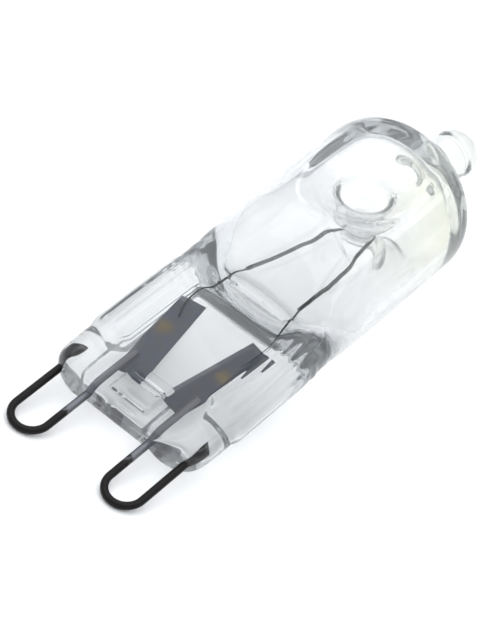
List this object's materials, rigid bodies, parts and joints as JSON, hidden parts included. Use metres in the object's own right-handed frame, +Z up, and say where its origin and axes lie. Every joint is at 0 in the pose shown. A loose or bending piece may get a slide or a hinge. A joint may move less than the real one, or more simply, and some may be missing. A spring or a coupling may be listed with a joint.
{
  "type": "halogen capsule bulb",
  "caption": "Clear quartz halogen capsule bulb with a flat pinched base, bent wire loop contacts, sealed foils, folded filament and a melted-off exhaust tip.",
  "frame": {"origin": "centre of the flat end of the pinch, between the inner legs of the two wire loops", "axes": "+X along the lamp towards the exhaust tip, level; +Y across the pinch; +Z up from the table that the lamp lies on. The lamp's own axis rises 14.5 degrees from +X towards +Z, because the lamp lies on its shoulder and on both loops"},
  "size_m": [0.0447, 0.0144, 0.0161],
  "materials": {
    "quartz_glass": "clear fire-polished quartz",
    "loop_wire": "molybdenum wire blackened by heat",
    "molybdenum_foil": "dull rolled foil",
    "tungsten": "drawn tungsten wire"
  },
  "bodies": {
    "root": {"envelope": "quartz_glass", "pin_loop_left": "loop_wire", "pin_loop_right": "loop_wire", "foil_left": "molybdenum_foil", "foil_right": "molybdenum_foil", "filament": "tungsten"}
  },
  "joints": []
}
